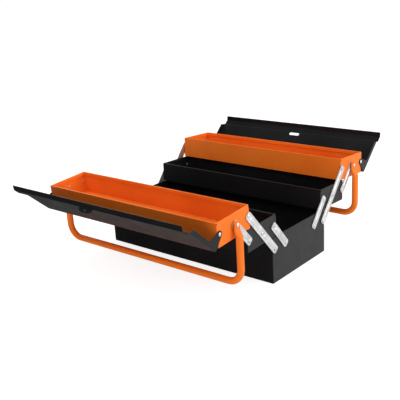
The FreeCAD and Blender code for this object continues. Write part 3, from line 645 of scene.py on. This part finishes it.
# ---------------------------------------------------------------- handles
def handle_shape():
    """The bent tube of a handle, its ends squeezed flat for the rivets."""
    rings = []
    steps = 44
    shift = EYE_THICK / 2 - TUBE        # from the tube's axis to the middle of the flat

    def squeezed(turn, z):
        """A point of the flat end's section at height z, as (outward, y)."""
        across, around = math.cos(turn), math.sin(turn)
        half = EYE_HALF * math.sqrt(max(1 - (max(z, 0.0) / EYE_HALF) ** 2, 0.0))
        y = math.copysign(half * abs(around) ** 0.6, around)
        rim = min(math.hypot(y, max(z, 0.0)) / EYE_HALF, 1.0)
        thick = EYE_THICK / 2 * (1 - rim ** 6) ** (1 / 6)
        return shift + math.copysign(thick, across), y

    def end_ring(z, flat):
        """A level ring of the leg at height z: round where flat is 0, squeezed where 1."""
        points = []
        for n in range(steps):
            turn = 2 * math.pi * (n + 0.5) / steps
            x, y = squeezed(turn, z)
            x += (1 - flat) * (TUBE * math.cos(turn) - x)
            y += (1 - flat) * (TUBE * math.sin(turn) - y)
            points.append((-LEG - x, y, z))
        return points

    def ring(centre, outward):
        """A round ring of the tube about centre."""
        points = []
        for n in range(steps):
            turn = 2 * math.pi * (n + 0.5) / steps
            side = Vector((0, TUBE * math.sin(turn), 0))
            points.append(tuple(centre + outward * TUBE * math.cos(turn) + side))
        return points

    out = Vector((-1, 0, 0))
    for sine, _ in sines(87, 80, 72, 62, 50, 38, 26, 13, 0):
        rings.append(end_ring(EYE_HALF * sine, 1.0))
    for n in range(11):
        z = -4.0 if n == 0 else -EYE_PLATE - (EYE_LENGTH - EYE_PLATE) * (n - 1) / 9
        rings.append(end_ring(z, smooth((z + EYE_LENGTH) / (EYE_LENGTH - EYE_PLATE))))
    low = HANDLE_BEND - HANDLE_DROP
    for z in (-40, -60, -80, low):
        rings.append(ring(Vector((-LEG, 0, z)), out))
    centre = Vector((HANDLE_BEND - LEG, 0, low))
    for sine, cosine in sines(*range(6, 91, 6)):
        away = Vector((-cosine, 0, -sine))
        rings.append(ring(centre + away * HANDLE_BEND, away))
    one_side = len(rings)
    for n in range(1, 12):
        x = (HANDLE_BEND - LEG) * (1 - n / 6)
        rings.append(ring(Vector((x, 0, -HANDLE_DROP)), Vector((0, 0, -1))))
    mirrored = [[(-x, y, z) for x, y, z in loop] for loop in reversed(rings[:one_side])]
    return bands(rings + mirrored)


# ---------------------------------------------------------------- assembly
ENDS = (("left", -1), ("right", 1))
on_base = Matrix.Translation((0, BASE[0] / 2 * MM, 0))
add_pan("base_pan", BASE, on_base, "base", "black_paint", BLACK, "base_shell",
        ["base_end_left", "base_end_right"])

for wing, turn in (("front", 180), ("back", 0)):
    flip = -1 if turn else 1
    at_middle = wing_place(turn, f"{wing}_middle_tray_turn", MIDDLE_PIVOT, -MIDDLE_TILT)
    at_upper = wing_place(turn, f"{wing}_upper_tray_turn", UPPER_PIVOT, -UPPER_TILT)
    at_lid = wing_place(turn, f"{wing}_lid_turn", (0, 0), LID_OPEN - 180)
    at_handle = wing_place(turn, f"{wing}_handle_turn", (0, 0), 0)
    for level, size, place, slot, material in (
            ("middle", MIDDLE, at_middle, "black_paint", BLACK),
            ("upper", UPPER, at_upper, "orange_paint", ORANGE)):
        add_pan(f"{wing}_{level}_pan", size, place, f"{wing}_{level}_tray", slot, material,
                f"{wing}_{level}_shell", [f"{wing}_{level}_end_{side}" for side, _ in ENDS])

    lid = lid_mesh(f"{wing}_lid_sheet", wing == "back")
    lid.transform(at_lid)
    finished(f"{wing}_lid_sheet", lid, f"{wing}_lid", "lid_black", LID_BLACK,
             f"{wing}_lid_panel")
    for side, end in ENDS:
        name = f"{wing}_lid_flange_{side}"
        mesh = make_mesh(name, flange_shape(end * flip), at_lid)
        finished(f"{name}_ear", mesh, f"{wing}_lid", "lid_black", LID_BLACK, name)
    if wing == "front":
        finished("padlock_eye_lug", make_mesh("lug", lug_shape(), at_lid), "front_lid",
                 "lid_black", LID_BLACK, "padlock_lug")

    finished(f"{wing}_handle_bar", make_mesh("handle", handle_shape(), at_handle),
             f"{wing}_handle", "orange_paint", ORANGE, f"{wing}_handle_tube",
             f"{wing}_handle_eye_left", f"{wing}_handle_eye_right")

    for kind, pitches, joint in (("long", 2, f"{wing}_fold"),
                                 ("lower", 1, f"{wing}_lower_link_turn"),
                                 ("upper", 1, f"{wing}_upper_link_turn")):
        place = wing_place(turn, joint, (0, 0), -LEAN[kind])
        for side, end in ENDS:
            name = f"{wing}_{kind}_link_{side}"
            mesh = make_mesh(name, link_shape(end * flip, pitches), place)
            finished(f"{name}_pressed", mesh, f"{wing}_{kind}_links", "zinc_link", ZINC, name)

    for spot, body, profile in (
            ("base_long", "base", LINK_RIVET), ("base_lower", "base", LINK_RIVET),
            ("middle_long", f"{wing}_middle_tray", LINK_RIVET),
            ("middle_high", f"{wing}_middle_tray", LINK_RIVET),
            ("middle_low", f"{wing}_middle_tray", LINK_RIVET),
            ("upper_long", f"{wing}_upper_tray", LINK_RIVET),
            ("handle", f"{wing}_upper_tray", HANDLE_RIVET),
            ("hinge", f"{wing}_upper_tray", HINGE_RIVET)):
        add_rivets(f"{wing}_{spot}_rivets", body, profile)


# ---------------------------------------------------------------- floor, light and camera
def floor_material():
    """A pale matt floor that is brighter to the camera than to the object."""
    material, tree, shader = node_material("studio_floor")
    cloud = object_noise(tree, 1.5, detail=2)
    colour = ramp(tree, cloud.outputs["Fac"],
                  [(NOISE_RANGE[0], (0.36, 0.36, 0.36)), (NOISE_RANGE[1], (0.38, 0.38, 0.38))])
    tree.links.new(colour.outputs["Color"], shader.inputs["Base Color"])
    shader.inputs["Roughness"].default_value = 0.9
    shader.inputs["Specular IOR Level"].default_value = 0.0
    shader.inputs["Emission Color"].default_value = (1, 1, 1, 1)
    seen = tree.nodes.new("ShaderNodeLightPath")
    glow = tree.nodes.new("ShaderNodeMapRange")
    glow.inputs["To Min"].default_value = 0.5
    glow.inputs["To Max"].default_value = 0.86
    tree.links.new(seen.outputs["Is Camera Ray"], glow.inputs["Value"])
    tree.links.new(glow.outputs["Result"], shader.inputs["Emission Strength"])
    return material


def add_floor():
    """A floor of 80 m square, half a millimetre under the object."""
    reach = 40.0
    mesh = bpy.data.meshes.new("floor")
    mesh.from_pydata([(-reach, -reach, 0), (reach, -reach, 0), (reach, reach, 0),
                      (-reach, reach, 0)], [], [(0, 1, 2, 3)])
    mesh.materials.append(floor_material())
    floor = new_object("studio_floor", mesh)
    floor.location.z = cad_box[0][2] - 0.0005
    floor.visible_glossy = False


def add_light(name, place, target, size, power, in_reflections=True, colour=(1, 1, 1)):
    """A soft box, size in metres and power in watts, that faces target."""
    light = bpy.data.lights.new(name, "AREA")
    light.shape = "RECTANGLE"
    light.size, light.size_y = size
    light.energy = power
    light.color = colour
    lamp = new_object(name, light)
    lamp.location = place
    lamp.rotation_mode = "QUATERNION"
    lamp.rotation_quaternion = (Vector(target) - Vector(place)).to_track_quat("-Z", "Y")
    lamp.visible_glossy = in_reflections
    lamp.visible_camera = False


def studio_world():
    """A bright room behind and to the right of the object that is dim on the other side."""
    world = bpy.data.worlds.new("studio")
    scene.world = world
    world.use_nodes = True
    tree = world.node_tree
    where = tree.nodes.new("ShaderNodeTexCoord")
    tree.nodes["Background"].inputs["Color"].default_value = (1, 1, 1, 1)
    toward = add(tree, "ShaderNodeVectorMath", operation="DOT_PRODUCT")
    toward.inputs[1].default_value = (0.65, 0.76, 0.12)
    tree.links.new(where.outputs["Generated"], toward.inputs[0])
    fade = tree.nodes.new("ShaderNodeMapRange")
    fade.interpolation_type = "SMOOTHSTEP"
    fade.inputs["From Min"].default_value = -0.75
    fade.inputs["From Max"].default_value = 0.95
    fade.inputs["To Min"].default_value = 0.015
    fade.inputs["To Max"].default_value = 0.9
    tree.links.new(toward.outputs["Value"], fade.inputs["Value"])
    seen = tree.nodes.new("ShaderNodeLightPath")
    white = tree.nodes.new("ShaderNodeMix")
    white.data_type = "FLOAT"
    white.inputs["B"].default_value = 1.0
    tree.links.new(seen.outputs["Is Camera Ray"], white.inputs["Factor"])
    tree.links.new(fade.outputs["Result"], white.inputs["A"])
    tree.links.new(white.outputs["Result"], tree.nodes["Background"].inputs["Strength"])


# the camera: degrees round and above the object, degrees of roll, metres away, millimetre lens
AZIMUTH, ELEVATION, ROLL, DISTANCE, LENS = 40.8, 18.56, -3.67, 1.6384, 62.757
TARGET = Vector((-0.0239, -0.0187, 0.1163))


def add_camera():
    """The camera, turned to TARGET."""
    azimuth, elevation = math.radians(AZIMUTH), math.radians(ELEVATION)
    back = Vector((math.sin(azimuth) * math.cos(elevation),
                   -math.cos(azimuth) * math.cos(elevation), math.sin(elevation)))
    camera = new_object("camera", bpy.data.cameras.new("camera"))
    camera.location = TARGET + back * DISTANCE
    camera.rotation_mode = "QUATERNION"
    camera.rotation_quaternion = (Quaternion(back, math.radians(ROLL))
                                  @ (-back).to_track_quat("-Z", "Y"))
    camera.data.lens = LENS
    scene.camera = camera


add_floor()
studio_world()
add_light("side_softbox", (2.3, 0.9, 0.9), (0, 0, 0.12), (2.0, 1.6), 30)
add_light("top_softbox", (0.2, -1.1, 2.4), (0, -0.1, 0.1), (2.4, 2.4), 41, in_reflections=False)
add_light("front_fill", (0.6, -2.4, 0.5), (0, 0, 0.15), (1.8, 0.9), 16, in_reflections=False,
          colour=(1, 0.90, 0.84))
add_light("left_fill", (-2.3, 0.9, 1.1), (0, 0, 0.12), (1.8, 1.4), 14)
add_camera()
scene.view_settings.view_transform = "Standard"
